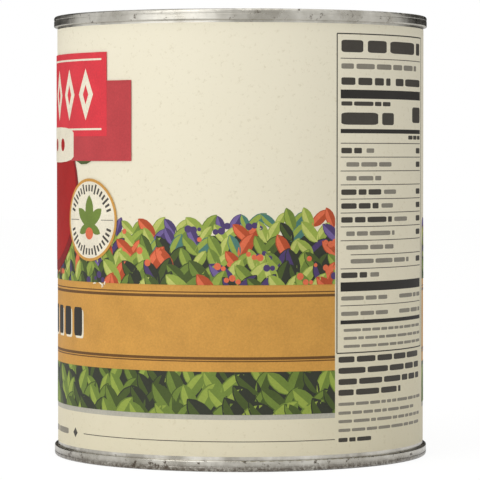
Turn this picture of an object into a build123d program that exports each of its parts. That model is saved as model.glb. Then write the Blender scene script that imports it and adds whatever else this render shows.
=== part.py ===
from build123d import *

import os
from math import degrees

# Tall round steel food can with a wrapped paper label, of the size that peeled tomatoes are sold in.
#
# A three-piece can: a plain body cylinder, a pressed end double-seamed to it at the top and another at the
# bottom, and a paper label that goes once round the body and laps over itself at the back.  The can is shut,
# so its body is one solid, made of the steel wall and all that the can holds.
#
# Frame: millimetres, origin at the centre of the foot, +Z up, the middle of the picture side at -Y.

# Driving dimensions ------------------------------------------------------------------------------------

CAN_HEIGHT = 119.1  # over both seams
BODY_BORE = 99.26  # inside diameter of the body cylinder
BODY_GAUGE = 0.20  # sheet thickness of the body
END_GAUGE = 0.24  # sheet thickness of the two ends

SEAM_HEIGHT = 2.9  # length of a rolled seam
SEAM_STAND_OFF = 1.02  # how far a seam stands out from the body's steel
SEAM_OUTER_ROUND = 0.62  # rounding of the seam's outer shoulder
SEAM_INNER_ROUND = 0.34  # rounding where the seam turns down into the dish
SEAM_LIP_ROUND = 0.30  # rounding of the hooked lip beside the body
SEAM_CROWN = 0.50  # metal of the end that covers the edge of the body wall

ROLL_MARK_DROP = 1.20  # from the seam's crown to the groove that the seaming roll leaves
ROLL_MARK_WIDTH = 0.36
ROLL_MARK_DEPTH = 0.09

PANEL_DEPTH = 2.6
COUNTERSINK_DEPTH = 4.1
COUNTERSINK_WIDTH = 1.7  # flat floor of that groove
COUNTERSINK_LEAN = 0.9  # how far the groove's inner flank leans
PRESSED_ROUND = 0.55  # rounding of every pressed corner, on the outside

BEAD_COUNT = 3  # pressed rings round the middle of the panel
BEAD_MARGIN = 7.6  # flat left between the largest ring and the countersink
BEAD_PITCH = 8.0  # from one ring to the next
BEAD_WIDTH = 4.4  # across a ring at the level of the panel
BEAD_DEPTH = 0.7
BEAD_LEAN = 1.1  # how far a ring's flank leans over its depth

LABEL_THICKNESS = 0.12
LABEL_GAP_TOP = 0.60  # bare steel between the upper seam and the paper
LABEL_GAP_BOTTOM = 0.95  # bare steel between the lower seam and the paper
LAP_LENGTH = 9.0  # glued overlap of the paper, measured round the can
LAP_RAMP = 1.6  # length over which the upper layer comes down to the steel
LAP_DIRECTION = 62.0  # degrees from +X towards +Y, where the free edge of the overlap lies

# Sizes that follow from them ---------------------------------------------------------------------------

bore_radius = BODY_BORE / 2
body_radius = bore_radius + BODY_GAUGE
seam_radius = body_radius + SEAM_STAND_OFF
chuck_radius = bore_radius - END_GAUGE
label_radius = body_radius + LABEL_THICKNESS

seam_lip = CAN_HEIGHT - SEAM_HEIGHT
panel_level = CAN_HEIGHT - PANEL_DEPTH
countersink_floor = CAN_HEIGHT - COUNTERSINK_DEPTH
label_bottom = SEAM_HEIGHT + LABEL_GAP_BOTTOM
label_top = seam_lip - LABEL_GAP_TOP

middle = Plane.XY.offset(CAN_HEIGHT / 2)


def bead_corners(radius):
    """The four corners of one pressed ring, from its inner edge outwards."""
    half = BEAD_WIDTH / 2
    floor = panel_level - BEAD_DEPTH
    return [
        (radius - half, panel_level),
        (radius - half + BEAD_LEAN, floor),
        (radius + half - BEAD_LEAN, floor),
        (radius + half, panel_level),
    ]


def dish_line():
    """Outside of the upper end: from the axis, over the rings and the countersink, up the chuck wall."""
    flank_foot = chuck_radius - COUNTERSINK_WIDTH
    panel_radius = flank_foot - COUNTERSINK_LEAN
    largest_bead = panel_radius - BEAD_MARGIN - BEAD_WIDTH / 2
    corners = [(0, panel_level)]
    for index in reversed(range(BEAD_COUNT)):
        corners += bead_corners(largest_bead - index * BEAD_PITCH)
    corners += [
        (panel_radius, panel_level),
        (flank_foot, countersink_floor),
        (chuck_radius, countersink_floor),
        (chuck_radius, CAN_HEIGHT),
    ]
    return FilletPolyline(*corners, radius=PRESSED_ROUND)


def section_over(line):
    """Half section of everything over a dish line, up to the level of the seam's crown."""
    return make_face([line, Polyline(line @ 1, (0, CAN_HEIGHT), line @ 0)])


def ring_section(inner_radius, outer_radius, low, high):
    """Half section of a plain ring between two levels."""
    corner = Pos(inner_radius, low)
    return corner * Rectangle(outer_radius - inner_radius, high - low, align=Align.MIN)


def turned(section):
    """The solid of revolution of a half section that is drawn radius by height."""
    return revolve(Plane.XZ * section, Axis.Z)


def make_body(over_underside):
    """The steel cylinder and what fills it, with the bare wall standing up into both seams."""
    block = turned(ring_section(0, body_radius, SEAM_CROWN, CAN_HEIGHT - SEAM_CROWN))
    hollow = turned(over_underside)
    return block - hollow - mirror(hollow, about=middle)


def roll_mark():
    """Half section of the cut for the shallow groove that the seaming roll leaves round the seam."""
    groove_radius = (ROLL_MARK_WIDTH**2 / 4 + ROLL_MARK_DEPTH**2) / (2 * ROLL_MARK_DEPTH)
    centre = Pos(seam_radius + groove_radius - ROLL_MARK_DEPTH, CAN_HEIGHT - ROLL_MARK_DROP)
    return centre * Circle(groove_radius)


def make_top_end(over_dish, over_underside):
    """One pressed end: its dish, and the rolled seam that closes round the edge of the body wall."""
    section = ring_section(chuck_radius, seam_radius, seam_lip, CAN_HEIGHT) + over_underside - over_dish
    rounds = [
        ((chuck_radius, CAN_HEIGHT), SEAM_INNER_ROUND),
        ((seam_radius, CAN_HEIGHT), SEAM_OUTER_ROUND),
        ((seam_radius, seam_lip), SEAM_LIP_ROUND),
    ]
    for corner, size in rounds:
        section = fillet(section.vertices().sort_by_distance(corner)[:1], size)
    body_wall = ring_section(bore_radius, body_radius, countersink_floor, CAN_HEIGHT - SEAM_CROWN)
    return turned(section - body_wall - roll_mark())


def on_circle(radius, angle):
    """The point on a circle round the axis, at so many degrees from +X towards +Y."""
    return Vector(radius, 0).rotate(Axis.Z, angle)


def make_label():
    """The paper sleeve, with the double layer where its free edge laps over the start of the sheet."""
    lap_angle = degrees(LAP_LENGTH / label_radius)
    ramp_angle = degrees(LAP_RAMP / label_radius)
    outer = CenterArc((0, 0), label_radius + LABEL_THICKNESS, LAP_DIRECTION, lap_angle)
    ramp = Line(outer @ 1, on_circle(label_radius, LAP_DIRECTION + lap_angle + ramp_angle))
    inner = CenterArc((0, 0), body_radius, LAP_DIRECTION, lap_angle + ramp_angle)
    lap = make_face([outer, ramp, Line(ramp @ 1, inner @ 1), inner, Line(inner @ 0, outer @ 0)])
    sheet = Circle(label_radius) - Circle(body_radius) + lap
    return Pos(0, 0, label_bottom) * extrude(sheet, label_top - label_bottom)


if __name__ == "__main__":
    upper_line = dish_line()
    under_line = upper_line.offset_2d(END_GAUGE, side=Side.RIGHT, closed=False)
    over_dish = section_over(upper_line)
    over_underside = section_over(under_line)
    top_end = make_top_end(over_dish, over_underside)

    nodes = {
        "can_body": make_body(over_underside),
        "top_end": top_end,
        "bottom_end": mirror(top_end, about=middle),
        "paper_label": make_label(),
    }
    os.makedirs("parts", exist_ok=True)
    for name, solid in nodes.items():
        export_step(solid, f"parts/{name}.step")
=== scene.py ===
"""Looks of a tin of peeled tomatoes: tinplate, a wrapped paper label, and its flat print in coloured inks.

The steel pieces keep their CAD shapes and get a tinplate finish.  The paper sleeve replaces its CAD node.  It
is modelled flat, as it comes from the printer, and rolled round the can, and so is every ink shape on it.

Lengths on the flat label are in millimetres: u runs round the can to the right of its front line (-Y), and
z is the height over the foot.
"""

import logging
import math
import random
from dataclasses import dataclass, field
from enum import Enum

import bpy
from mathutils import Matrix, Vector


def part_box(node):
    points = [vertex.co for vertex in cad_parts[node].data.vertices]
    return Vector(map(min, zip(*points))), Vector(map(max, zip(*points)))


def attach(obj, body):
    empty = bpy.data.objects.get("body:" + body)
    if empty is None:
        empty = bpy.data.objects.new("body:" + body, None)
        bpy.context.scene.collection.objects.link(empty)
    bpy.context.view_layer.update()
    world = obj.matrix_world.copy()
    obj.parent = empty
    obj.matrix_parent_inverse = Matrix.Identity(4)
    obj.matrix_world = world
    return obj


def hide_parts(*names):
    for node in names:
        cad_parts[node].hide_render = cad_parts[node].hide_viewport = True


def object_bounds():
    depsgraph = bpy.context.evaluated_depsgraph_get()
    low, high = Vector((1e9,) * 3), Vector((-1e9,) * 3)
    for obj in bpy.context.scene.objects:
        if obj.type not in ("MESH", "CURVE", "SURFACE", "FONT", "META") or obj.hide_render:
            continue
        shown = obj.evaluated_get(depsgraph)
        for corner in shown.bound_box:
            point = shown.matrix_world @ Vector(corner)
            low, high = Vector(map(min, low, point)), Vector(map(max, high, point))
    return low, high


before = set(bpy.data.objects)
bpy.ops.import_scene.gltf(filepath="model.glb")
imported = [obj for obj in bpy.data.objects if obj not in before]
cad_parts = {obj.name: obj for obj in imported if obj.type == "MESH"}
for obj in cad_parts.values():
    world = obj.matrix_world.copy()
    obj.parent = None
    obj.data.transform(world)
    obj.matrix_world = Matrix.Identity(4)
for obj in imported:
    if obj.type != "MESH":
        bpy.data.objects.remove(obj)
cad_low, cad_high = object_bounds()

MM = 0.001
log = logging.getLogger("tin")

LABEL_LOW, LABEL_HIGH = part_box("paper_label")
STEEL_LOW, STEEL_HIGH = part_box("can_body")
CAN_HEIGHT = (cad_high.z - cad_low.z) / MM
STEEL_RADIUS = (STEEL_HIGH.x - STEEL_LOW.x) / 2 / MM
PAPER = 0.12  # thickness of the label
PAPER_RADIUS = STEEL_RADIUS + PAPER
ROUND = 2 * math.pi * PAPER_RADIUS
PAPER_FOOT = LABEL_LOW.z / MM
PAPER_HEAD = LABEL_HIGH.z / MM
FRONT_TO_LAP = 62.0 + 90.0  # degrees from the front line to the sheet's free edge
LAP_EDGE = math.radians(FRONT_TO_LAP) * PAPER_RADIUS - ROUND
LAP_WIDTH = 9.0
LAP_RAMP = 1.6  # length over which the flap comes down to the steel
LAP_CURL = 0.08  # how far the flap's dry edge stands off the glue
LAP_STEP = 0.02  # width of the step at the free edge, which ink crosses too
INK_THICKNESS = 0.05  # drawn thicker than real ink, so that it hides what it lies on
INK_SHARE = 0.5  # how much of a mark's own lift it really stands over the paper
FACET = 1.5  # the longest straight stretch of anything that is rolled round the can
WINDOW_LEFT, WINDOW_RIGHT = 25.6, 69.0  # the plain paper that the facts panel stands on
PICTURE_LEFT, PICTURE_RIGHT = WINDOW_RIGHT - ROUND, WINDOW_LEFT  # the printed rest of the way round


def linear(colour: str) -> tuple[float, float, float, float]:
    """Turn an sRGB hex colour into Blender's linear colour.

    Args:
        colour: Six hex digits, with or without a leading #.

    Returns:
        Red, green, blue and an alpha of 1.
    """
    digits = colour.lstrip("#")
    channels = [int(digits[place:place + 2], 16) / 255 for place in (0, 2, 4)]
    red, green, blue = (c / 12.92 if c <= 0.04045 else ((c + 0.055) / 1.055) ** 2.4 for c in channels)
    return red, green, blue, 1.0


def add_node(tree: bpy.types.NodeTree, kind: str, settings: dict | None = None, links: dict | None = None,
             values: dict | None = None) -> bpy.types.Node:
    """Add one node with its settings, socket values and incoming links.

    Args:
        tree: The node tree to add to.
        kind: The node's type, such as ShaderNodeTexNoise.
        settings: Attributes of the node.
        links: Input name or number to the output socket that feeds it.
        values: Input name or number to its fixed value.

    Returns:
        The new node.
    """
    node = tree.nodes.new(kind)
    for name, value in (settings or {}).items():
        setattr(node, name, value)
    for name, value in (values or {}).items():
        node.inputs[name].default_value = value
    for name, source in (links or {}).items():
        tree.links.new(source, node.inputs[name])
    return node


def set_ramp(node: bpy.types.Node, stops: list[tuple[float, str]]) -> None:
    """Give a colour ramp its stops.

    Args:
        node: The ramp.
        stops: Place from 0 to 1 and hex colour of each stop, in order.
    """
    elements = node.color_ramp.elements
    while len(elements) < len(stops):
        elements.new(1.0)
    for element, (place, colour) in zip(elements, stops):
        element.position = place
        element.color = linear(colour)


def new_material(name: str) -> tuple[bpy.types.Material, bpy.types.NodeTree, bpy.types.Node]:
    """Make an empty material.

    Args:
        name: The material's name.

    Returns:
        The material, its node tree and its Principled shader.
    """
    material = bpy.data.materials.new(name)
    material.use_nodes = True
    tree = material.node_tree
    return material, tree, tree.nodes["Principled BSDF"]


@dataclass(frozen=True)
class Tinplate:
    """Electrolytic tinplate: bright, slightly warm, with fine marks along the way that it was rolled."""

    name: str
    bright: str = "#C2BFB6"
    dull: str = "#9B978D"
    # brown of the dirt nicks, and of the painted shade near the foot
    grime_and_shade: str = "#463A2C"
    roughness_low: float = 0.20
    roughness_high: float = 0.42
    mark_mm: float = 0.35  # spacing of the roll marks, drawn coarser than real ones so that they show
    smudge_mm: float = 9.0
    nick_mm: float = 2.4
    nick_share: float = 0.26
    foot_shade_top: float = 0.0  # height in mm that painted shade, in brown specks, reaches up from the foot

    def make(self) -> bpy.types.Material:
        """Build the metal with smudges, roll marks, brown nicks and, if asked, painted shade in brown specks
        near its foot.

        Returns:
            The material.
        """
        material, tree, shader = new_material(self.name)
        place = add_node(tree, "ShaderNodeTexCoord").outputs["Object"]
        squeeze = add_node(tree, "ShaderNodeMapping", links={"Vector": place},
                           values={"Scale": (0.06, 0.06, 1.0)})
        marks = add_node(tree, "ShaderNodeTexNoise", links={"Vector": squeeze.outputs[0]},
                         values={"Scale": 1 / (self.mark_mm * MM), "Detail": 3.0})
        smudges = add_node(tree, "ShaderNodeTexNoise", links={"Vector": place},
                           values={"Scale": 1 / (self.smudge_mm * MM), "Detail": 5.0, "Roughness": 0.62})
        nicks = add_node(tree, "ShaderNodeTexNoise", links={"Vector": place},
                         values={"Scale": 1 / (self.nick_mm * MM), "Detail": 6.0, "Roughness": 0.7})
        metal = add_node(tree, "ShaderNodeValToRGB", links={"Fac": smudges.outputs["Fac"]})
        set_ramp(metal, [(0.35, self.dull), (0.62, self.bright)])
        where = add_node(tree, "ShaderNodeMapRange", links={"Value": nicks.outputs["Fac"]},
                         values={"From Min": 0.70 - self.nick_share * 0.4,
                                 "From Max": 0.74 - self.nick_share * 0.3})
        # Painted shade: brown specks that darken the metal towards the foot, standing for the darker
        # surroundings that the lower rim mirrors.
        if self.foot_shade_top:
            level = add_node(tree, "ShaderNodeSeparateXYZ", links={"Vector": place}).outputs["Z"]
            near = add_node(tree, "ShaderNodeMapRange", links={"Value": level},
                            values={"From Min": self.foot_shade_top * MM,
                                    "From Max": self.foot_shade_top * 0.35 * MM})
            specks = add_node(tree, "ShaderNodeTexNoise", links={"Vector": place},
                              values={"Scale": 1 / (0.8 * MM), "Detail": 4.0, "Roughness": 0.75})
            some = add_node(tree, "ShaderNodeMapRange", links={"Value": specks.outputs["Fac"]},
                            values={"From Min": 0.36, "From Max": 0.56, "To Min": 0.22, "To Max": 0.9})
            foot_shade = add_node(tree, "ShaderNodeMath", {"operation": "MULTIPLY"},
                             links={0: near.outputs[0], 1: some.outputs[0]})
            where = add_node(tree, "ShaderNodeMath", {"operation": "MAXIMUM"},
                             links={0: where.outputs[0], 1: foot_shade.outputs[0]})
        colour = add_node(tree, "ShaderNodeMix", {"data_type": "RGBA"},
                          links={0: where.outputs[0], 6: metal.outputs[0]})
        colour.inputs[7].default_value = linear(self.grime_and_shade)
        tree.links.new(colour.outputs[2], shader.inputs["Base Color"])
        clean = add_node(tree, "ShaderNodeMapRange", links={"Value": where.outputs[0]},
                         values={"To Min": 1.0, "To Max": 0.25})
        tree.links.new(clean.outputs[0], shader.inputs["Metallic"])
        gloss = add_node(tree, "ShaderNodeMapRange", links={"Value": smudges.outputs["Fac"]},
                         values={"From Min": 0.3, "From Max": 0.7, "To Min": self.roughness_low,
                                 "To Max": self.roughness_high})
        tree.links.new(gloss.outputs[0], shader.inputs["Roughness"])
        height = add_node(tree, "ShaderNodeMath", {"operation": "SUBTRACT"},
                          links={0: marks.outputs["Fac"], 1: where.outputs[0]})
        bump = add_node(tree, "ShaderNodeBump", links={"Height": height.outputs[0]},
                        values={"Strength": 0.35, "Distance": 0.03 * MM})
        tree.links.new(bump.outputs[0], shader.inputs["Normal"])
        return material


@dataclass(frozen=True)
class LabelPaper:
    """Wood-free label paper, coated on one side, with a cream ground that darkens towards the foot, partly as
    painted shade.
    """

    name: str = "coated_label_paper"
    # head, middle and foot: the ground darkens down the can, partly the paper's own tone and partly painted
    # shade from the lamps above
    head: str = "#F1EAD3"
    middle: str = "#EDE5CC"
    foot: str = "#E1D9BE"
    fleck: str = "#C9BD9B"
    roughness: float = 0.58
    sheen: float = 0.22
    cloud_mm: float = 16.0
    fibre_mm: float = 0.45
    fleck_mm: float = 1.1

    def make(self) -> bpy.types.Material:
        """Build the paper with its vertical tone, clouds, flecks and fibre relief.

        Returns:
            The material.
        """
        material, tree, shader = new_material(self.name)
        place = add_node(tree, "ShaderNodeTexCoord").outputs["Object"]
        level = add_node(tree, "ShaderNodeSeparateXYZ", links={"Vector": place}).outputs["Z"]
        height = add_node(tree, "ShaderNodeMapRange", links={"Value": level},
                          values={"From Min": PAPER_FOOT * MM, "From Max": PAPER_HEAD * MM})
        clouds = add_node(tree, "ShaderNodeTexNoise", links={"Vector": place},
                          values={"Scale": 1 / (self.cloud_mm * MM), "Detail": 6.0, "Roughness": 0.6})
        drift = add_node(tree, "ShaderNodeMapRange", links={"Value": clouds.outputs["Fac"]},
                         values={"To Min": -0.22, "To Max": 0.22})
        tone = add_node(tree, "ShaderNodeMath", {"operation": "ADD"},
                        links={0: height.outputs[0], 1: drift.outputs[0]})
        ground = add_node(tree, "ShaderNodeValToRGB", links={"Fac": tone.outputs[0]})
        set_ramp(ground, [(0.0, self.foot), (0.42, self.middle), (0.95, self.head)])
        specks = add_node(tree, "ShaderNodeTexNoise", links={"Vector": place},
                          values={"Scale": 1 / (self.fleck_mm * MM), "Detail": 3.0, "Roughness": 0.7})
        spread = add_node(tree, "ShaderNodeMapRange", links={"Value": specks.outputs["Fac"]},
                          values={"From Min": 0.58, "From Max": 0.80, "To Max": 0.55})
        colour = add_node(tree, "ShaderNodeMix", {"data_type": "RGBA"},
                          links={0: spread.outputs[0], 6: ground.outputs[0]})
        colour.inputs[7].default_value = linear(self.fleck)
        tree.links.new(colour.outputs[2], shader.inputs["Base Color"])
        shader.inputs["Roughness"].default_value = self.roughness
        shader.inputs["Specular IOR Level"].default_value = self.sheen
        fibres = add_node(tree, "ShaderNodeTexNoise", links={"Vector": place},
                          values={"Scale": 1 / (self.fibre_mm * MM), "Detail": 4.0})
        bump = add_node(tree, "ShaderNodeBump", links={"Height": fibres.outputs["Fac"]},
                        values={"Strength": 0.18, "Distance": 0.02 * MM})
        tree.links.new(bump.outputs[0], shader.inputs["Normal"])
        return material


class Ink(Enum):
    """The printer's inks, each as its sRGB colour on this paper."""

    BLACK = "#2B2824"
    SOFT_BLACK = "#4A4640"
    GREY = "#B9B6A9"
    PRINT_GREY = "#8D887B"
    PRINT_DARK = "#45413A"
    CREAM = "#F0E8D2"
    OCHRE = "#D09A4A"
    UMBER = "#6A4A24"
    RED = "#DE3A45"
    DEEP_RED = "#BE4347"
    TOMATO = "#A81613"
    TOMATO_DARK = "#820F10"
    TOMATO_LIGHT = "#D2483C"
    NIGHT_GREEN = "#33362B"
    DARK_GREEN = "#4A592B"
    LEAF = "#70853A"
    FRESH = "#96A84A"
    LIME = "#BFC66C"
    TEAL = "#4E7B70"
    PURPLE = "#4F3F6C"
    LILAC = "#75639A"
    RUST = "#B5502F"
    CORAL = "#E0704C"


@dataclass(frozen=True)
class PrintInk:
    """Offset ink on coated paper: matt, with the paper's grain breaking the colour a little."""

    ink: Ink
    roughness: float = 0.55
    sheen: float = 0.22
    grain_mm: float = 0.5
    cloud_mm: float = 7.0
    depth: float = 0.16

    def make(self) -> bpy.types.Material:
        """Build the ink with a fine grain and slow changes of strength.

        Returns:
            The material.
        """
        material, tree, shader = new_material(f"ink_{self.ink.name.lower()}")
        place = add_node(tree, "ShaderNodeTexCoord").outputs["Object"]
        grain = add_node(tree, "ShaderNodeTexNoise", links={"Vector": place},
                         values={"Scale": 1 / (self.grain_mm * MM), "Detail": 3.0})
        clouds = add_node(tree, "ShaderNodeTexNoise", links={"Vector": place},
                          values={"Scale": 1 / (self.cloud_mm * MM), "Detail": 4.0})
        both = add_node(tree, "ShaderNodeMath", {"operation": "ADD"},
                        links={0: grain.outputs["Fac"], 1: clouds.outputs["Fac"]})
        strength = add_node(tree, "ShaderNodeMapRange", links={"Value": both.outputs[0]},
                            values={"From Min": 0.6, "From Max": 1.4, "To Min": 1 - self.depth,
                                    "To Max": 1 + self.depth * 0.8})
        colour = add_node(tree, "ShaderNodeVectorMath", {"operation": "SCALE"},
                          links={"Scale": strength.outputs[0]})
        colour.inputs[0].default_value = linear(self.ink.value)[:3]
        tree.links.new(colour.outputs[0], shader.inputs["Base Color"])
        shader.inputs["Roughness"].default_value = self.roughness
        shader.inputs["Specular IOR Level"].default_value = self.sheen
        return material


class Shape(Enum):
    """The simple shapes that the print is made of."""

    BLOCK = "block"
    TABLET = "tablet"
    DISC = "disc"
    RING = "ring"
    LOZENGE = "lozenge"
    LEAF = "leaf"
    HALF_LEAF = "half_leaf"


@dataclass
class Stamp:
    """One printed shape: its middle, size and turn on the flat label, and its ink."""

    shape: Shape
    u: float
    z: float
    width: float
    height: float
    ink: Ink
    lift: float = 0.03  # how far its face stands over the paper, in mm
    tilt: float = 0.0  # degrees, anticlockwise as seen


def select_only(piece: bpy.types.Object) -> None:
    """Make a piece the one selected and active object.

    Args:
        piece: The piece, in object mode.
    """
    bpy.ops.object.select_all(action="DESELECT")
    piece.select_set(True)
    bpy.context.view_layer.objects.active = piece


class Press:
    """Models each simple shape once, stamps copies of it on the flat label, and rolls the result."""

    def __init__(self) -> None:
        """Model the shapes, mix the inks and remember them."""
        self.inks = {ink: PrintInk(ink).make() for ink in Ink}
        self.plates = {shape: self.model(shape) for shape in Shape}

    def model(self, shape: Shape) -> bpy.types.Mesh:
        """Model one shape, a unit wide and high, standing upright and facing -Y.

        Args:
            shape: Which shape.

        Returns:
            Its mesh.
        """
        bpy.ops.object.select_all(action="DESELECT")
        if shape in (Shape.BLOCK, Shape.TABLET):
            bpy.ops.mesh.primitive_plane_add(size=1)
        else:
            corners = {Shape.DISC: 40, Shape.RING: 64, Shape.LOZENGE: 4}.get(shape, 16)
            bpy.ops.mesh.primitive_circle_add(vertices=corners, radius=0.5, fill_type="NGON")
        piece = bpy.context.object
        bpy.ops.object.mode_set(mode="EDIT")
        bpy.ops.mesh.select_all(action="SELECT")
        if shape is Shape.TABLET:
            bpy.ops.mesh.bevel(offset=0.16, segments=3, affect="VERTICES")
        if shape is Shape.RING:
            bpy.ops.mesh.inset(thickness=0.035)
            bpy.ops.mesh.delete(type="FACE")
        if shape in (Shape.LEAF, Shape.HALF_LEAF):
            self.point_leaf(piece)
        if shape is Shape.HALF_LEAF:
            bpy.ops.mesh.select_all(action="SELECT")
            bpy.ops.mesh.bisect(plane_co=(0, 0, 0), plane_no=(0, 1, 0), clear_inner=True)
        bpy.ops.object.mode_set(mode="OBJECT")
        mesh = piece.data
        mesh.transform(Matrix.Rotation(math.radians(90), 4, "X"))
        bpy.data.objects.remove(piece)
        return mesh

    def point_leaf(self, piece: bpy.types.Object) -> None:
        """Draw a disc's two ends in to the points of a leaf that lies along X.

        Args:
            piece: The disc, in edit mode.
        """
        bpy.ops.object.mode_set(mode="OBJECT")
        for reach, squeeze in ((0.30, 0.86), (0.42, 0.62)):
            for vertex in piece.data.vertices:
                vertex.select = abs(vertex.co.x) > reach
            for polygon in piece.data.polygons:
                polygon.select = False
            for edge in piece.data.edges:
                edge.select = all(piece.data.vertices[i].select for i in edge.vertices)
            bpy.ops.object.mode_set(mode="EDIT")
            bpy.ops.mesh.select_mode(type="VERT")
            bpy.ops.transform.resize(value=(1, squeeze, 1), center_override=(0, 0, 0))
            bpy.ops.object.mode_set(mode="OBJECT")
        bpy.ops.object.mode_set(mode="EDIT")

    def stamp(self, mark: Stamp) -> bpy.types.Object:
        """Put one copy of a shape on the flat label.

        Args:
            mark: The shape's place, size and ink.

        Returns:
            The copy, with its own mesh.
        """
        mesh = self.plates[mark.shape].copy()
        place = Matrix.Translation((mark.u * MM, -mark.lift * INK_SHARE * MM, mark.z * MM))
        turn = Matrix.Rotation(-math.radians(mark.tilt), 4, "Y")
        size = Matrix.Diagonal((mark.width * MM, 1, mark.height * MM, 1))
        mesh.transform(place @ turn @ size)
        mesh.materials.clear()
        mesh.materials.append(self.inks[mark.ink])
        piece = bpy.data.objects.new("mark", mesh)
        bpy.context.scene.collection.objects.link(piece)
        return piece

    def print(self, name: str, marks: list[Stamp], keep: tuple[float, float, float, float] | None = None,
              ) -> bpy.types.Object:
        """Print a group of shapes as one thin piece that lies on the paper.

        Args:
            name: The piece's name.
            marks: Its shapes.
            keep: Left, right, lower and upper limit past which the shapes are cut off.

        Returns:
            The finished piece.
        """
        copies = [self.stamp(mark) for mark in marks]
        bpy.ops.object.select_all(action="DESELECT")
        for copy in copies:
            copy.select_set(True)
        bpy.context.view_layer.objects.active = copies[0]
        if len(copies) > 1:
            bpy.ops.object.join()
        piece = bpy.context.object
        piece.name = piece.data.name = name
        if keep:
            left, right, low, high = keep
            cut(piece, (left, 0, 0), (-1, 0, 0), clear=True)
            cut(piece, (right, 0, 0), (1, 0, 0), clear=True)
            cut(piece, (0, 0, low), (0, 0, -1), clear=True)
            cut(piece, (0, 0, high), (0, 0, 1), clear=True)
        climb_lap(piece)
        roll(piece, inward=INK_THICKNESS)
        finish_piece(piece)
        log.info("%s: %d shapes", name, len(marks))
        return piece


def cut(piece: bpy.types.Object, at: tuple[float, float, float], across: tuple[float, float, float],
        clear: bool = False) -> None:
    """Cut a flat piece by a plane, and drop what lies past it if asked.

    Args:
        piece: The piece, in object mode.
        at: A point of the plane, in mm.
        across: The plane's normal.
        clear: Whether the side that the normal points to is dropped.
    """
    select_only(piece)
    bpy.ops.object.mode_set(mode="EDIT")
    bpy.ops.mesh.select_all(action="SELECT")
    bpy.ops.mesh.bisect(plane_co=Vector(at) * MM, plane_no=across, clear_outer=clear, threshold=1e-7)
    bpy.ops.object.mode_set(mode="OBJECT")


def climb_lap(piece: bpy.types.Object) -> None:
    """Lift the part of a flat piece that lies on the sheet's free flap, up to a sharp step at its edge.

    Args:
        piece: The flat piece, with u along X and the paper's face at Y = 0.
    """
    for along in (-LAP_STEP, 0.0, LAP_WIDTH * 0.5, LAP_WIDTH, LAP_WIDTH + LAP_RAMP):
        cut(piece, (LAP_EDGE + along, 0, 0), (1, 0, 0))
    for vertex in piece.data.vertices:
        along = vertex.co.x / MM - LAP_EDGE
        if along > -LAP_STEP / 2:
            climb = min(1.0, max(0.0, (LAP_WIDTH + LAP_RAMP - along) / LAP_RAMP))
            curl = max(0.0, 1.0 - along / (LAP_WIDTH * 0.5))
            vertex.co.y -= (PAPER * climb + LAP_CURL * curl) * MM


def roll(piece: bpy.types.Object, inward: float) -> None:
    """Cut a flat piece into narrow upright strips, roll it round the can and give it its thickness.

    Args:
        piece: The flat piece, with u along X and the paper's face at Y = 0.
        inward: Its thickness in mm, laid on inwards.
    """
    across = [vertex.co.x / MM for vertex in piece.data.vertices]
    select_only(piece)
    bpy.ops.object.mode_set(mode="EDIT")
    for step in range(math.ceil(min(across) / FACET), math.floor(max(across) / FACET) + 1):
        bpy.ops.mesh.select_all(action="SELECT")
        bpy.ops.mesh.bisect(plane_co=(step * FACET * MM, 0, 0), plane_no=(1, 0, 0), threshold=1e-7)
    bpy.ops.object.mode_set(mode="OBJECT")
    bend = piece.modifiers.new("roll", "SIMPLE_DEFORM")
    bend.deform_method = "BEND"
    bend.deform_axis = "Z"
    bend.angle = (max(across) - min(across)) / PAPER_RADIUS
    bpy.ops.object.modifier_apply(modifier="roll")
    piece.data.transform(Matrix.Translation((0, -PAPER_RADIUS * MM, 0)))
    wall = piece.modifiers.new("thickness", "SOLIDIFY")
    wall.thickness = inward * MM
    wall.offset = -1
    bpy.ops.object.modifier_apply(modifier="thickness")


def finish_piece(piece: bpy.types.Object) -> None:
    """Smooth a label piece and fix it to the can.

    Args:
        piece: The rolled piece.
    """
    select_only(piece)
    bpy.ops.object.shade_smooth_by_angle(angle=math.radians(30))
    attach(piece, "root")


@dataclass
class PaperSleeve:
    """The label itself: one sheet round the can, glued where its free edge laps over its start."""

    def build(self) -> bpy.types.Object:
        """Model the sheet flat, step its lap up over the start, and roll it.

        Returns:
            The sleeve, which replaces its CAD node.
        """
        left = LAP_EDGE
        right = LAP_EDGE + ROUND + LAP_WIDTH
        bpy.ops.object.select_all(action="DESELECT")
        bpy.ops.mesh.primitive_plane_add(size=1, rotation=(math.radians(90), 0, 0))
        sheet = bpy.context.object
        bpy.ops.object.transform_apply(location=True, rotation=True, scale=True)
        sheet.name = sheet.data.name = "label_sheet"
        size = Matrix.Diagonal(((right - left) * MM, 1, (PAPER_HEAD - PAPER_FOOT) * MM, 1))
        middle = Matrix.Translation(((left + right) / 2 * MM, 0, (PAPER_HEAD + PAPER_FOOT) / 2 * MM))
        sheet.data.transform(middle @ size)
        climb_lap(sheet)
        roll(sheet, inward=PAPER)
        sheet.data.materials.append(LabelPaper().make())
        finish_piece(sheet)
        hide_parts("paper_label")
        return sheet


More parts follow.
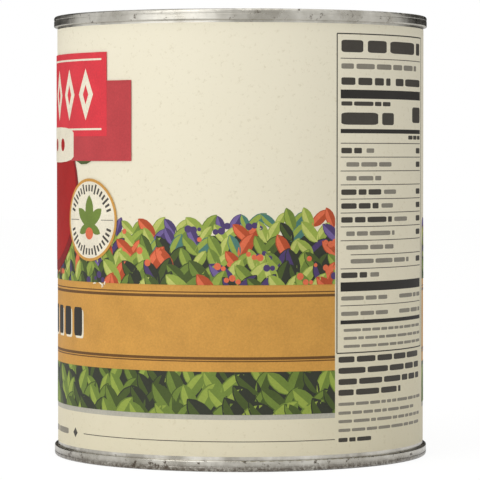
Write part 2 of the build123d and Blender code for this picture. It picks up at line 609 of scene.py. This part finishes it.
@dataclass
class LeafFrieze:
    """A generic band of overlapping leaves and round berries on a dark ground."""

    name: str
    low: float
    high: float
    ground_top: float
    leaf_length: float
    row_step: float
    pitch: float
    back: tuple[tuple[Ink, Ink], ...]
    front: tuple[tuple[Ink, Ink], ...]
    berry_share: float
    seed: int
    swell: float = 1.3
    left: float = PICTURE_LEFT
    right: float = PICTURE_RIGHT

    def leaf(self, u: float, z: float, length: float, tilt: float, inks: tuple[Ink, Ink], lift: float,
             ) -> list[Stamp]:
        """Draw one leaf in two tones with its midrib.

        Args:
            u: Its middle along the label.
            z: Its middle's height.
            length: From stalk to tip.
            tilt: Degrees from lying to the right.
            inks: The leaf's ink and that of its lit half.
            lift: Height of its lowest ink over the paper.

        Returns:
            Its shapes.
        """
        width = length * 0.46
        return [
            Stamp(Shape.LEAF, u, z, length, width, inks[0], lift, tilt),
            Stamp(Shape.HALF_LEAF, u, z, length * 0.94, width * 0.84, inks[1], lift + 0.012, tilt),
        ]

    def build(self, press: Press) -> bpy.types.Object:
        """Lay the leaves row by row from the back to the front, and trim the band to its field.

        Args:
            press: Where the shapes are stamped.

        Returns:
            The finished band.
        """
        chance = random.Random(self.seed)
        width = self.right - self.left
        soil_top = self.ground_top - (self.high - self.ground_top) * 0.4
        marks = [Stamp(Shape.BLOCK, (self.left + self.right) / 2, (self.low + soil_top) / 2, width,
                       soil_top - self.low, Ink.NIGHT_GREEN, 0.03)]
        rows = round((self.ground_top - self.low) / self.row_step) + 1
        for row in range(rows):
            level = self.ground_top - row * self.row_step
            depth = row / max(1, rows - 1)
            u = self.left + chance.uniform(0, self.pitch)
            count = 0
            while u < self.right + self.pitch:
                rise = self.swell * math.sin(u / 17.0 + row * 0.9) * (1 - depth)
                length = self.leaf_length * chance.uniform(0.72, 1.1) * (0.78 + 0.34 * depth)
                lean = 90 + (1 if count % 2 else -1) * chance.uniform(18, 52)
                shades = self.front if chance.random() < depth else self.back
                lift = 0.06 + row * 0.03 + (count % 2) * 0.014
                marks += self.leaf(u, level + rise, length, lean, chance.choice(shades), lift)
                if row and chance.random() < self.berry_share:
                    ink = Ink.CORAL if chance.random() < 0.55 else Ink.PURPLE
                    for berry in range(chance.randint(1, 3)):
                        size = chance.uniform(1.0, 1.9)
                        marks.append(Stamp(Shape.DISC, u + berry * 1.5 - 1.2, level + rise + length * 0.22
                                           + chance.uniform(-0.9, 0.9), size, size, ink, lift + 0.02))
                u += self.pitch * chance.uniform(0.75, 1.25)
                count += 1
        return press.print(self.name, marks, (self.left, self.right, self.low, self.high))


@dataclass
class TitleBand:
    """The ochre band with its keylines, a row of plain slabs where a title would stand, and a few scuffs."""

    low: float = 25.75
    high: float = 48.1
    left: float = PICTURE_LEFT
    right: float = PICTURE_RIGHT
    slab: float = 4.6
    slab_height: float = 7.6
    centre: float = -85.0
    slabs: int = 11
    scuff_width: float = 0.8
    scuffs: tuple[tuple[float, ...], ...] = (  # u, z, length and tilt of each chip in the ink
        (-43.6, 47.75, 1.5, 8), (-40.9, 47.6, 2.3, -30), (-40.2, 47.3, 1.4, 60), (-39.3, 48.0, 1.1, 80),
    )

    def keyline(self, z: float, thickness: float) -> Stamp:
        """Draw a level line from end to end of the band."""
        return Stamp(Shape.BLOCK, (self.left + self.right) / 2, z, self.right - self.left, thickness,
                     Ink.UMBER, 0.06)

    def build(self, press: Press) -> bpy.types.Object:
        """Stamp the field, its four keylines, the slabs with their cream edges and the scuffs.

        Args:
            press: Where the shapes are stamped.

        Returns:
            The finished band.
        """
        middle = (self.low + self.high) / 2
        marks = [
            Stamp(Shape.BLOCK, (self.left + self.right) / 2, middle, self.right - self.left,
                  self.high - self.low, Ink.OCHRE, 0.03),
        ]
        marks += [self.keyline(*line) for line in ((46.25, 0.3), (45.3, 0.72), (28.45, 0.3), (29.2, 0.72))]
        pitch = self.slab + 2.0
        for index in range(self.slabs):
            u = self.centre + (index - (self.slabs - 1) / 2) * pitch
            size = (self.slab, self.slab_height)
            marks.append(Stamp(Shape.TABLET, u + 0.7, middle - 0.1, *size, Ink.CREAM, 0.06))
            marks.append(Stamp(Shape.TABLET, u, middle + 0.5, *size, Ink.BLACK, 0.09))
        for u, z, length, tilt in self.scuffs:
            marks.append(Stamp(Shape.HALF_LEAF, u, z, length, self.scuff_width, Ink.CREAM, 0.30, tilt))
        return press.print("title_band", marks)


@dataclass
class FrontMark:
    """The red plaque over its darker plate, a pill below them, and a plain tomato with a leaf."""

    plaque_left: float = -131.5
    plaque_right: float = -38.5
    plaque_low: float = 86.5
    plaque_high: float = 108.5
    fruit_u: float = -85.0
    fruit_z: float = 71.0
    fruit_width: float = 67.0
    fruit_height: float = 44.0
    lozenges: int = 9
    lozenge_pitch: float = 9.4
    pill_drop: float = 2.2  # from the plaque's lower edge to the pill's middle
    dots: int = 7
    dot_pitch: float = 7.6

    def plate(self, left: float, right: float, low: float, high: float, ink: Ink, lift: float) -> Stamp:
        """Draw a rectangle from its four limits."""
        return Stamp(Shape.BLOCK, (left + right) / 2, (low + high) / 2, right - left, high - low, ink, lift)

    def build_fruit(self, press: Press) -> bpy.types.Object:
        """Stamp the tomato as three lobes with a shaded foot, a shine and its leaves.

        Args:
            press: Where the shapes are stamped.

        Returns:
            The finished tomato.
        """
        u, z, wide, tall = self.fruit_u, self.fruit_z, self.fruit_width, self.fruit_height
        marks = [
            Stamp(Shape.DISC, u - wide * 0.2, z, wide * 0.6, tall * 0.94, Ink.TOMATO_DARK, 0.34),
            Stamp(Shape.DISC, u + wide * 0.2, z, wide * 0.6, tall * 0.94, Ink.TOMATO_DARK, 0.355),
            Stamp(Shape.DISC, u, z, wide * 0.62, tall, Ink.TOMATO_DARK, 0.37),
            Stamp(Shape.DISC, u - wide * 0.2, z + 1.4, wide * 0.56, tall * 0.88, Ink.TOMATO, 0.39),
            Stamp(Shape.DISC, u + wide * 0.2, z + 1.4, wide * 0.56, tall * 0.88, Ink.TOMATO, 0.405),
            Stamp(Shape.DISC, u, z + 1.4, wide * 0.54, tall * 0.92, Ink.TOMATO, 0.42),
            Stamp(Shape.LEAF, u - wide * 0.22, z + tall * 0.2, 16, 5, Ink.TOMATO_LIGHT, 0.44, 38),
        ]
        for index in range(5):
            turn = 200 + index * 35
            marks.append(Stamp(Shape.LEAF, u + 7 * math.cos(math.radians(turn)), z + tall * 0.42
                               + 5 * math.sin(math.radians(turn)), 15, 4.6, Ink.DARK_GREEN, 0.46, turn))
        marks.append(Stamp(Shape.LEAF, -51.0, 83.5, 15.0, 7.6, Ink.DARK_GREEN, 0.43, -24))
        marks.append(Stamp(Shape.HALF_LEAF, -51.0, 83.5, 14.0, 6.6, Ink.LEAF, 0.45, -24))
        return press.print("front_fruit", marks)

    def build_plaque(self, press: Press) -> bpy.types.Object:
        """Stamp the two red plates, the cream keylines and lozenges, and the pill with its dots.

        Args:
            press: Where the shapes are stamped.

        Returns:
            The finished plaque.
        """
        left, right, low, high = self.plaque_left, self.plaque_right, self.plaque_low, self.plaque_high
        marks = [
            self.plate(left + 8.5, right + 8.5, low - 6.5, high - 7.5, Ink.DEEP_RED, 0.50),
            self.plate(left, right, low, high, Ink.RED, 0.53),
            self.plate(left + 2, right - 2, low + 1.6, low + 2.1, Ink.CREAM, 0.56),
            self.plate(left + 2, right - 2, high - 2.1, high - 1.6, Ink.CREAM, 0.56),
        ]
        for index in range(self.lozenges):
            u = (left + right) / 2 + (index - (self.lozenges - 1) / 2) * self.lozenge_pitch
            marks.append(Stamp(Shape.LOZENGE, u, (low + high) / 2, 6.8, 13.6, Ink.CREAM, 0.56))
            marks.append(Stamp(Shape.LOZENGE, u, (low + high) / 2, 2.6, 5.2, Ink.RED, 0.59))
        pill_z = low - self.pill_drop
        marks.append(Stamp(Shape.TABLET, self.fruit_u, pill_z, 62, 9.4, Ink.CREAM, 0.62))
        for index in range(self.dots):
            u = self.fruit_u + (index - (self.dots - 1) / 2) * self.dot_pitch
            marks.append(Stamp(Shape.DISC, u, pill_z, 3.4, 3.4, Ink.TOMATO, 0.65))
        return press.print("front_plaque", marks)


@dataclass
class RoundBadge:
    """A cream roundel with an ochre rim, a ring of ticks and a sprig of leaves in its middle."""

    u: float = -45.7
    z: float = 64.5
    radius: float = 10.9
    base: float = 0.62  # lift of its lowest ink, over that of the fruit
    ticks: int = 40

    def build(self, press: Press) -> bpy.types.Object:
        """Stamp the disc, rim, ticks, level line and sprig.

        Args:
            press: Where the shapes are stamped.

        Returns:
            The finished badge.
        """
        size = 2 * self.radius
        marks = [
            Stamp(Shape.DISC, self.u, self.z, size, size, Ink.CREAM, self.base),
            Stamp(Shape.RING, self.u, self.z, size, size, Ink.OCHRE, self.base + 0.03),
        ]
        for index in range(self.ticks):
            turn = 360 * index / self.ticks
            if abs(math.sin(math.radians(turn))) < 0.2:
                continue
            long = index % 4 == 0
            reach = self.radius * 0.77
            marks.append(Stamp(Shape.BLOCK, self.u + reach * math.cos(math.radians(turn)),
                               self.z + reach * math.sin(math.radians(turn)), 2.7 if long else 1.7,
                               0.62, Ink.SOFT_BLACK, self.base + 0.03, turn))
        for side in (-1, 1):
            marks.append(Stamp(Shape.BLOCK, self.u + side * 7.3, self.z, 4.6, 0.16, Ink.SOFT_BLACK,
                               self.base + 0.03))
        for turn, length in ((90, 8.6), (140, 7.4), (40, 7.4), (205, 5.6), (-25, 5.6)):
            marks.append(Stamp(Shape.LEAF, self.u + 0.42 * length * math.cos(math.radians(turn)),
                               self.z - 1.4 + 0.42 * length * math.sin(math.radians(turn)), length,
                               length * 0.42, Ink.LEAF, self.base + 0.03, turn))
        marks.append(Stamp(Shape.DISC, self.u, self.z - 3.6, 3.4, 3.2, Ink.CORAL, self.base + 0.06))
        return press.print("round_badge", marks)


@dataclass
class TextRow:
    """A row of plain bars of the length of words, which stands where small print would."""

    left: float
    right: float
    z: float
    size: float
    bold: bool = False

    def marks(self, chance: random.Random) -> list[Stamp]:
        """Lay the bars from left to right.

        Args:
            chance: The random numbers that set their lengths.

        Returns:
            The row's bars.
        """
        ink = Ink.PRINT_DARK if self.bold else Ink.PRINT_GREY
        height = self.size * (0.74 if self.bold else 0.60)
        bars, u = [], self.left
        while u < self.right - self.size * 0.5:
            width = min(chance.uniform(1.3, 4.6) * self.size, self.right - u)
            bars.append(Stamp(Shape.TABLET, u + width / 2, self.z, width, height, ink))
            u += width + self.size * 0.38
        return bars


@dataclass
class FactsPanel:
    """The facts table: frame, rules and bars, with plain bars where its words and figures would be."""

    left: float = 26.2
    right: float = 66.6
    low: float = 30.1
    high: float = 113.0
    line: float = 0.3
    rules: tuple[float, ...] = (106.6, 84.6, 81.0, 77.4, 73.8, 70.1, 66.5, 62.9, 59.3, 52.0, 42.4)
    bars: tuple[tuple[float, float], ...] = ((97.35, 2.3), (87.75, 1.1), (47.3, 2.4), (38.1, 1.0))
    rows: list[TextRow] = field(default_factory=list)

    def __post_init__(self) -> None:
        """List the rows from the top down."""
        inner, end = self.left + 1.3, self.right - 1.4
        self.rows = [
            TextRow(inner, end - 0.6, 109.8, 4.3, True),
            TextRow(inner, end - 4, 104.6, 2.3),
            TextRow(inner, inner + 18, 100.7, 2.6, True),
            TextRow(inner + 20.5, end, 100.7, 2.6, True),
            TextRow(inner, inner + 18, 94.9, 1.5, True),
            TextRow(inner, inner + 19.6, 91.0, 4.3, True),
            TextRow(end - 7.2, end, 92.2, 5.6, True),
            TextRow(end - 10, end, 86.2, 1.4, True),
        ]
        lines = (
            (82.7, 0.0, 10.0, 4.0, True), (79.1, 1.6, 18.5, 4.0, False), (75.5, 1.6, 14.0, 0.0, False),
            (71.9, 0.0, 19.5, 4.0, True), (68.3, 0.0, 18.0, 4.0, True), (64.7, 0.0, 26.0, 4.0, True),
            (61.1, 1.6, 20.0, 4.0, False), (57.5, 1.6, 19.5, 0.0, False), (53.9, 3.0, 28.0, 4.0, False),
            (50.3, 0.0, 12.0, 0.0, True),
        )
        for z, indent, length, value, bold in lines:
            split = inner + indent + (length - indent) * (0.72 if bold else 1.0)
            self.rows.append(TextRow(inner + indent, split, z, 1.95, bold))
            if bold:
                self.rows.append(TextRow(split + 1.2, inner + length + 1.2, z, 1.95))
            if value:
                self.rows.append(TextRow(end - value, end, z, 1.95, True))
        for z in (44.3, 40.3):
            self.rows.append(TextRow(inner, inner + 17, z, 1.8))
            self.rows.append(TextRow(inner + 22.5, end, z, 1.8))
        for z in (36.0, 33.9, 31.8):
            self.rows.append(TextRow(inner + 0.8, end, z, 1.25))
        for z, length in ((28.4, 38.0), (25.5, 37.5), (22.6, 38.0), (19.8, 24.5)):
            self.rows.append(TextRow(self.left + 0.5, self.left + length, z, 2.1, True))
        for z, length in ((16.8, 39.5), (14.5, 33.0), (12.3, 38.5), (10.0, 39.0)):
            self.rows.append(TextRow(self.left + 0.5, self.left + length, z, 1.35))
        self.rows.append(TextRow(self.left + 0.5, self.left + 11.5, 7.5, 1.45, True))

    def build(self, press: Press) -> bpy.types.Object:
        """Stamp the frame, the rules, the bars and every row.

        Args:
            press: Where the shapes are stamped.

        Returns:
            The finished panel.
        """
        chance = random.Random(28)
        middle, width = (self.left + self.right) / 2, self.right - self.left
        marks = []
        for z in (self.low, self.high):
            marks.append(Stamp(Shape.BLOCK, middle, z, width, self.line, Ink.BLACK))
        for u in (self.left, self.right):
            marks.append(Stamp(Shape.BLOCK, u, (self.low + self.high) / 2, self.line,
                               self.high - self.low, Ink.BLACK))
        for z in self.rules:
            marks.append(Stamp(Shape.BLOCK, middle, z, width - 2.2, 0.2, Ink.SOFT_BLACK))
        marks.append(Stamp(Shape.BLOCK, middle + 1.6, 55.6, width - 5.4, 0.2, Ink.SOFT_BLACK))
        for z, thickness in self.bars:
            marks.append(Stamp(Shape.BLOCK, middle, z, width - 2.2, thickness, Ink.BLACK))
        for row in self.rows:
            marks += row.marks(chance)
        return press.print("facts_panel", marks)


@dataclass
class FootLine:
    """What stands under the friezes: a grey strip, a thin line, a lozenge and a row of small bars."""

    strip_low: float = 13.4
    strip_high: float = 14.7
    line_left: float = -49.0
    line_z: float = 7.75

    def build(self, press: Press) -> bpy.types.Object:
        """Stamp the strip, the line, the lozenge and the bars.

        Args:
            press: Where the shapes are stamped.

        Returns:
            The finished strip and line.
        """
        left, right = PICTURE_LEFT, PICTURE_RIGHT
        marks = [
            Stamp(Shape.BLOCK, (left + right) / 2, (self.strip_low + self.strip_high) / 2, right - left,
                  self.strip_high - self.strip_low, Ink.GREY),
            Stamp(Shape.BLOCK, (self.line_left + right) / 2, self.line_z, right - self.line_left, 0.2,
                  Ink.SOFT_BLACK),
            Stamp(Shape.LOZENGE, -53.7, self.line_z, 2.6, 2.6, Ink.SOFT_BLACK),
        ]
        marks += TextRow(-112, -58.5, self.line_z, 2.6).marks(random.Random(5))
        return press.print("foot_line", marks)


@dataclass
class Studio:
    """Plain soft light, a pale floor and the camera, with its lengths in mm and its pitch in degrees."""

    lens: float = 216.6
    distance: float = 791.1
    height: float = 80.91
    aside: float = -0.12
    pitch: float = 1.637
    ambient: float = 0.58
    card: float = 0.72  # side of a dark card, in metres as the lamps are
    card_reach: float = 0.6

    def lamp(self, name: str, place: tuple[float, float, float], size: float, watts: float) -> None:
        """Add a square soft lamp that points at the middle of the can.

        Args:
            name: The lamp's name.
            place: Its place in metres.
            size: Its side in metres.
            watts: Its power.
        """
        bpy.ops.object.light_add(type="AREA", location=place)
        lamp = bpy.context.object
        lamp.name = name
        lamp.data.size = size
        lamp.data.energy = watts
        aim = Vector((0, 0, CAN_HEIGHT / 2 * MM)) - Vector(place)
        lamp.rotation_euler = aim.to_track_quat("-Z", "Y").to_euler()

    def seen_directly(self, tree: bpy.types.NodeTree) -> bpy.types.NodeSocket:
        """Tell rays of the camera, of mirrors and of clear things from scattered light.

        Args:
            tree: The node tree to add to.

        Returns:
            The socket that is 1 for the first and 0 for the second.
        """
        path = add_node(tree, "ShaderNodeLightPath")
        first = add_node(tree, "ShaderNodeMath", {"operation": "MAXIMUM"},
                         links={0: path.outputs["Is Camera Ray"], 1: path.outputs["Is Glossy Ray"]})
        both = add_node(tree, "ShaderNodeMath", {"operation": "MAXIMUM"},
                        links={0: first.outputs[0], 1: path.outputs["Is Transmission Ray"]})
        return both.outputs[0]

    def build_world(self) -> None:
        """Light the can evenly, and show white behind it."""
        world = bpy.data.worlds.new("studio")
        bpy.context.scene.world = world
        world.use_nodes = True
        tree = world.node_tree
        share = add_node(tree, "ShaderNodeMapRange", links={"Value": self.seen_directly(tree)},
                         values={"To Min": self.ambient, "To Max": 1.0})
        background = tree.nodes["Background"]
        background.inputs["Color"].default_value = (1, 1, 1, 1)
        tree.links.new(share.outputs[0], background.inputs["Strength"])

    def build_floor(self) -> None:
        """Lay a round pale floor that still takes the can's shadow."""
        bpy.ops.mesh.primitive_circle_add(vertices=96, radius=3.0, fill_type="NGON", location=(0, 0, 0))
        floor = bpy.context.object
        floor.name = "studio_floor"
        material, tree, shader = new_material("pale_floor")
        shader.inputs["Base Color"].default_value = linear("#F4F4F2")
        shader.inputs["Roughness"].default_value = 0.9
        glow = add_node(tree, "ShaderNodeEmission", values={"Strength": 1.06})
        share = add_node(tree, "ShaderNodeMath", {"operation": "MULTIPLY"},
                         links={0: self.seen_directly(tree)}, values={1: 0.86})
        blend = add_node(tree, "ShaderNodeMixShader", links={0: share.outputs[0], 1: shader.outputs[0],
                                                            2: glow.outputs[0]})
        tree.links.new(blend.outputs[0], tree.nodes["Material Output"].inputs["Surface"])
        floor.data.materials.append(material)

    def build_flags(self) -> None:
        """Stand a dark card behind each side, which only the bare metal mirrors, near its outline."""
        material, tree, shader = new_material("dark_card")
        shader.inputs["Base Color"].default_value = linear("#1A1918")
        shader.inputs["Roughness"].default_value = 0.9
        for side, turn in (("left", 27.0), ("right", -36.0)):
            facing = math.radians(turn)
            place = (-math.sin(facing) * self.card_reach, math.cos(facing) * self.card_reach,
                     self.card / 2 + 0.01)
            bpy.ops.mesh.primitive_plane_add(size=self.card, location=place,
                                             rotation=(math.radians(90), 0, facing))
            card = bpy.context.object
            card.name = f"dark_card_{side}"
            card.data.materials.append(material)
            card.visible_camera = card.visible_diffuse = card.visible_shadow = False

    def build(self) -> None:
        """Make the camera, the lamps, the world, the floor and the cards."""
        scene = bpy.context.scene
        scene.view_settings.view_transform = "Standard"
        bpy.ops.object.camera_add(location=(self.aside * MM, -self.distance * MM, self.height * MM),
                                  rotation=(math.radians(90 - self.pitch), 0, 0))
        scene.camera = bpy.context.object
        scene.camera.data.lens = self.lens
        scene.camera.data.sensor_width = 36.0
        self.build_world()
        self.lamp("front_softbox", (-1.0, -1.25, 0.7), 1.1, 9.5)
        self.lamp("top_softbox", (-0.2, -0.3, 1.4), 0.9, 3.0)
        self.build_floor()
        self.build_flags()


def dress_steel() -> None:
    """Give the CAD's steel pieces their tinplate."""
    finishes = {
        "can_body": Tinplate("tinplate_body", bright="#CFCCC3", roughness_low=0.26, nick_share=0.12),
        "top_end": Tinplate("tinplate_top_end"),
        # the bottom end gets painted shade in brown specks up to 2.1 mm over its foot
        "bottom_end": Tinplate("tinplate_bottom_end", nick_share=0.33, foot_shade_top=2.1),
    }
    for node, finish in finishes.items():
        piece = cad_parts[node]
        piece.data.materials.clear()
        piece.data.materials.append(finish.make())
        log.info("%s: %s", node, finish.name)


def leaf_friezes() -> list[LeafFrieze]:
    """Set out the two friezes and the pairs of inks that their leaves take.

    Returns:
        The frieze above the title band, and the one below it.
    """
    plain = ((Ink.DARK_GREEN, Ink.LEAF), (Ink.LEAF, Ink.FRESH), (Ink.NIGHT_GREEN, Ink.DARK_GREEN))
    bright = ((Ink.FRESH, Ink.LIME), (Ink.LEAF, Ink.FRESH), (Ink.FRESH, Ink.LIME), (Ink.TEAL, Ink.FRESH))
    mixed = bright + ((Ink.PURPLE, Ink.LILAC), (Ink.RUST, Ink.CORAL))
    deep = plain + ((Ink.NIGHT_GREEN, Ink.PURPLE), (Ink.RUST, Ink.CORAL), (Ink.FRESH, Ink.LIME))
    band = TitleBand()
    return [
        LeafFrieze("upper_leaves", low=band.high, high=72.0, ground_top=64.0, leaf_length=8.2, row_step=3.3,
                   pitch=3.1, back=mixed, front=deep, berry_share=0.22, seed=11),
        LeafFrieze("lower_leaves", low=FootLine.strip_high, high=band.low, ground_top=band.low,
                   leaf_length=10.5, row_step=3.9, pitch=4.2, back=plain + ((Ink.LEAF, Ink.FRESH),),
                   front=plain, berry_share=0.0, seed=23),
    ]


def main() -> None:
    """Build the studio, the sleeve and its print, and dress the steel."""
    logging.basicConfig(level=logging.INFO, format="%(message)s")
    Studio().build()
    dress_steel()
    PaperSleeve().build()
    press = Press()
    for frieze in leaf_friezes():
        frieze.build(press)
    TitleBand().build(press)
    front = FrontMark()
    front.build_fruit(press)
    front.build_plaque(press)
    RoundBadge().build(press)
    FactsPanel().build(press)
    FootLine().build(press)


if __name__ == "__main__":
    main()
